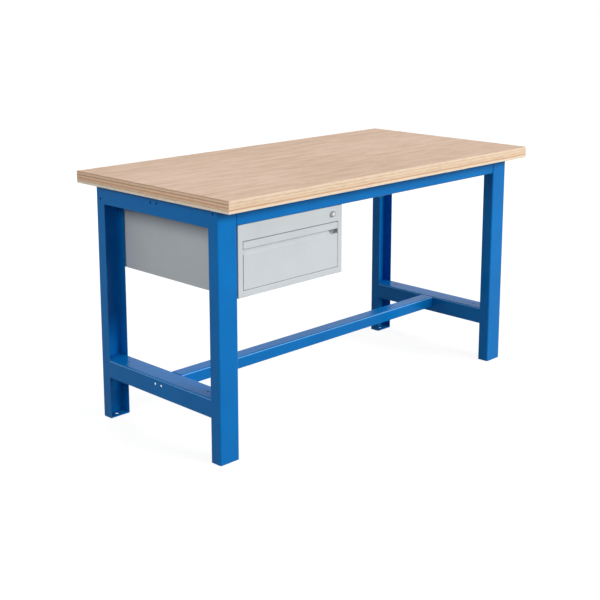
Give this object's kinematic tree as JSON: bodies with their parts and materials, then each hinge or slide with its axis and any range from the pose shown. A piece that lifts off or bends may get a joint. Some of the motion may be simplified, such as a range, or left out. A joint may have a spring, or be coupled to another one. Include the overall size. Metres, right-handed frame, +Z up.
{
  "type": "workbench",
  "caption": "Steel-framed workbench with a thick plywood top, folded channel legs, a lower stretcher and a lockable drawer cabinet hung under the left end.",
  "frame": {"origin": "on the floor, at the middle of the bench's outline", "axes": "+X to the right as the user faces the bench, +Y to the rear, +Z up; the drawer opens along -Y"},
  "size_m": [1.5, 0.75, 0.84],
  "materials": {
    "beech_plywood": "clear satin varnish",
    "blue_powder_coat": "semi-gloss powder coat",
    "grey_powder_coat": "satin powder coat",
    "zinc_steel": "bright zinc plate",
    "dark_plastic": "fine matt",
    "lock_chrome": "satin chrome plate"
  },
  "bodies": {
    "frame": {"cabinet_back": "grey_powder_coat", "cabinet_bolts": "zinc_steel", "cabinet_bottom": "grey_powder_coat", "cabinet_fascia": "grey_powder_coat", "cabinet_left_side": "grey_powder_coat", "cabinet_nuts": "zinc_steel", "cabinet_right_side": "grey_powder_coat", "cabinet_top": "grey_powder_coat", "end_rail_lower_left": "blue_powder_coat", "end_rail_lower_right": "blue_powder_coat", "end_rail_upper_left": "blue_powder_coat", "end_rail_upper_right": "blue_powder_coat", "foot_plate_front_left": "blue_powder_coat", "foot_plate_front_right": "blue_powder_coat", "foot_plate_rear_left": "blue_powder_coat", "foot_plate_rear_right": "blue_powder_coat", "frame_bolts": "zinc_steel", "frame_nuts": "zinc_steel", "front_rail_plate_left": "blue_powder_coat", "front_rail_plate_right": "blue_powder_coat", "front_top_rail": "blue_powder_coat", "leg_front_left": "blue_powder_coat", "leg_front_right": "blue_powder_coat", "leg_rear_left": "blue_powder_coat", "leg_rear_right": "blue_powder_coat", "lock_barrel": "lock_chrome", "lock_nut": "zinc_steel", "rear_rail_plate_left": "blue_powder_coat", "rear_rail_plate_right": "blue_powder_coat", "rear_top_rail": "blue_powder_coat", "runner_bracket_left": "grey_powder_coat", "runner_bracket_right": "grey_powder_coat", "runner_outer_left": "zinc_steel", "runner_outer_right": "zinc_steel", "runner_screws": "zinc_steel", "stretcher": "blue_powder_coat", "stretcher_plate_left": "blue_powder_coat", "stretcher_plate_right": "blue_powder_coat", "worktop": "beech_plywood", "worktop_screws": "zinc_steel"},
    "drawer": {"drawer_tray": "grey_powder_coat", "drawer_back": "grey_powder_coat", "drawer_front": "grey_powder_coat", "drawer_liner": "grey_powder_coat", "runner_inner_left": "zinc_steel", "runner_inner_right": "zinc_steel", "drawer_rivets": "zinc_steel", "latch_spring": "zinc_steel"},
    "runner_middle_left": {"runner_middle_left": "zinc_steel", "ball_cages_left": "zinc_steel", "runner_balls_left": "zinc_steel"},
    "runner_middle_right": {"runner_middle_right": "zinc_steel", "ball_cages_right": "zinc_steel", "runner_balls_right": "zinc_steel"},
    "lock": {"lock_plug": "lock_chrome", "lock_cam": "zinc_steel", "cam_screw": "zinc_steel"},
    "latch": {"drawer_latch": "dark_plastic", "latch_slider": "zinc_steel", "latch_screw": "zinc_steel"}
  },
  "joints": [
    {"name": "drawer_slide", "type": "slide", "parent": "frame", "child": "drawer", "axis": [0, -1, 0], "range_m": [0, 0.45]},
    {"name": "runner_slide_left", "type": "slide", "parent": "frame", "child": "runner_middle_left", "axis": [0, -1, 0], "range_m": [0, 0.225]},
    {"name": "runner_slide_right", "type": "slide", "parent": "frame", "child": "runner_middle_right", "axis": [0, -1, 0], "range_m": [0, 0.225]},
    {"name": "lock_turn", "type": "hinge", "parent": "frame", "child": "lock", "pos_m": [-0.233, -0.297, 0.716], "axis": [0, -1, 0], "range_deg": [0, 90]},
    {"name": "latch_slide", "type": "slide", "parent": "drawer", "child": "latch", "axis": [-1, 0, 0], "range_m": [0, 0.006], "stiffness_N_per_m": 300, "springref_m": -0.003, "deforming": ["latch_spring"]}
  ],
  "couplings": [
    {"joint": "runner_slide_left", "follows": "drawer_slide", "ratio": 0.5},
    {"joint": "runner_slide_right", "follows": "drawer_slide", "ratio": 0.5}
  ]
}
